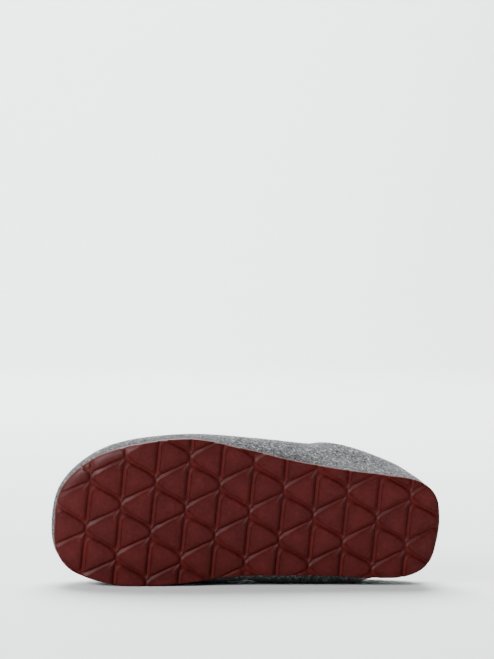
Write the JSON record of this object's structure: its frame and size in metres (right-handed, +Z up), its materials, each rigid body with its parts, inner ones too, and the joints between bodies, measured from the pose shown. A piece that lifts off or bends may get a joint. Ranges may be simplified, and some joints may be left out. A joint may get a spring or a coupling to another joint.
{
  "type": "house slipper",
  "caption": "Left clog-style house slipper: hollow grey felt upper, felt insole and burgundy rubber sole with triangular lugs, lying on its medial side with the sole to the viewer.",
  "frame": {"origin": "bottom centre of the bounding box of the shoe as it lies, on the floor", "axes": "+X along the shoe from toe to heel, +Y from the sole toward the instep, +Z up, which is the shoe's lateral side"},
  "size_m": [0.2666, 0.0862, 0.1031],
  "materials": {
    "sole_rubber": "satin moulded rubber, burgundy",
    "upper_felt": "matt grey mixed wool felt with short nap",
    "insole_felt": "matt grey felt cover"
  },
  "bodies": {
    "root": {"outsole": "sole_rubber", "upper": "upper_felt", "insole": "insole_felt"}
  },
  "joints": []
}
